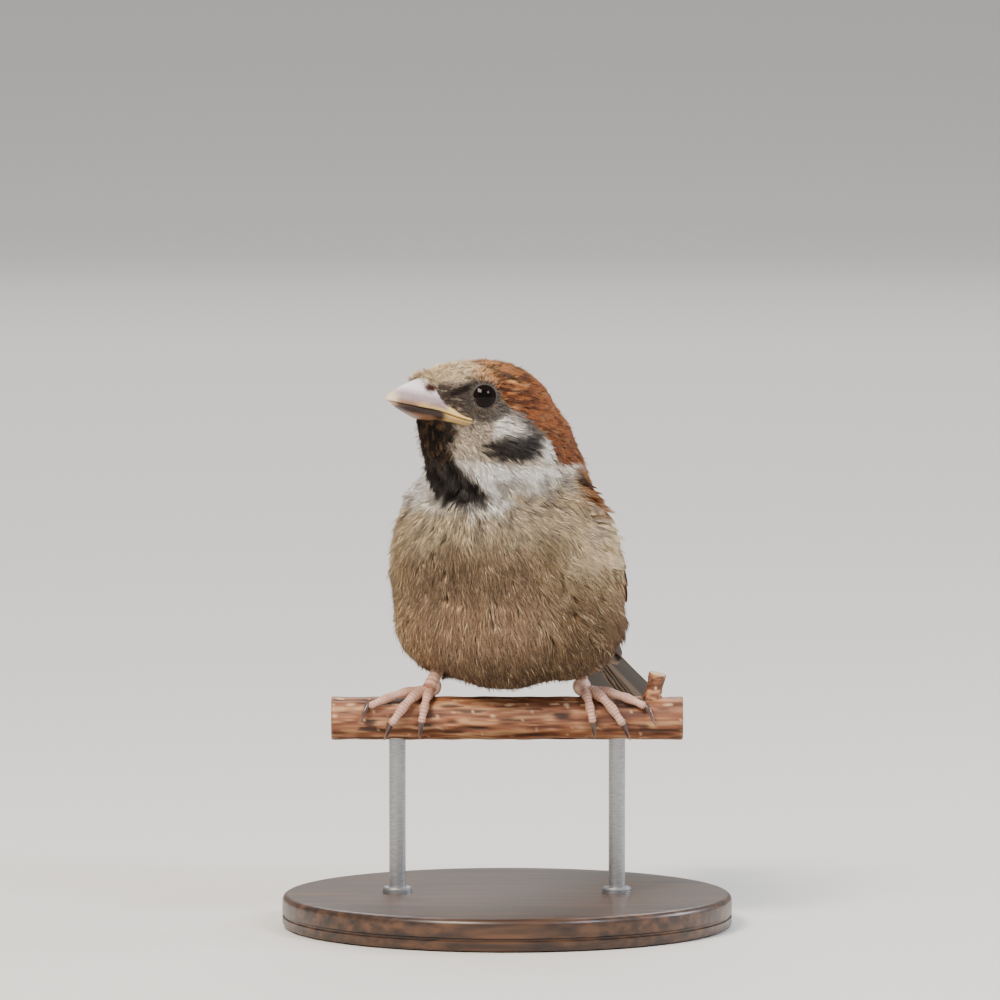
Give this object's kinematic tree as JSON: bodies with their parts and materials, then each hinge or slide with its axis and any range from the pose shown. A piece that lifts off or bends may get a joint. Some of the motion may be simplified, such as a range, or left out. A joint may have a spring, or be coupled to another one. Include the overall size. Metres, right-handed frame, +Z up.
{
  "type": "eurasian tree sparrow model",
  "caption": "Life-size still model of a young tree sparrow, fluffed, its head turned aside, gripping a cut length of twig held by rods over a flat round base.",
  "frame": {"origin": "centre of the underside of the round base, on the floor", "axes": "+Z up, +X along the twig to the bird's left, -Y the side that the bird's breast faces"},
  "size_m": [0.082, 0.1094, 0.104],
  "materials": {
    "crown_feathers": "soft matt feathers, chestnut and buff-grey with black marks",
    "collar_feathers": "soft matt feathers, off-white with a black bib",
    "body_feathers": "soft matt feathers, buff-brown, fluffed",
    "wing_feathers": "firm vaned feathers, dark brown with rufous fringes",
    "eye_glass": "polished near-black",
    "bill_horn": "satin horn, lilac-grey above, yellow at the gape",
    "claw_horn": "satin horn, brown",
    "leg_skin": "scaled pink skin, satin",
    "twig_bark": "rough brown bark, pale cut ends",
    "base_wood": "dark walnut, satin oil",
    "rod_steel": "brushed"
  },
  "bodies": {
    "root": {"head": "crown_feathers", "neck": "collar_feathers", "trunk": "body_feathers", "thigh_left": "body_feathers", "thigh_right": "body_feathers", "wing_left": "wing_feathers", "wing_right": "wing_feathers", "tail": "wing_feathers", "bill_upper": "bill_horn", "bill_lower": "bill_horn", "eye_left": "eye_glass", "eye_right": "eye_glass", "shank_left": "leg_skin", "shank_right": "leg_skin", "foot_left": "leg_skin", "foot_right": "leg_skin", "perch": "twig_bark", "stand_base": "base_wood", "stand_rod_left": "rod_steel", "stand_rod_right": "rod_steel", "claw_inner_left": "claw_horn", "claw_inner_right": "claw_horn", "claw_middle_left": "claw_horn", "claw_middle_right": "claw_horn", "claw_outer_left": "claw_horn", "claw_outer_right": "claw_horn", "claw_hind_left": "claw_horn", "claw_hind_right": "claw_horn"}
  },
  "joints": []
}
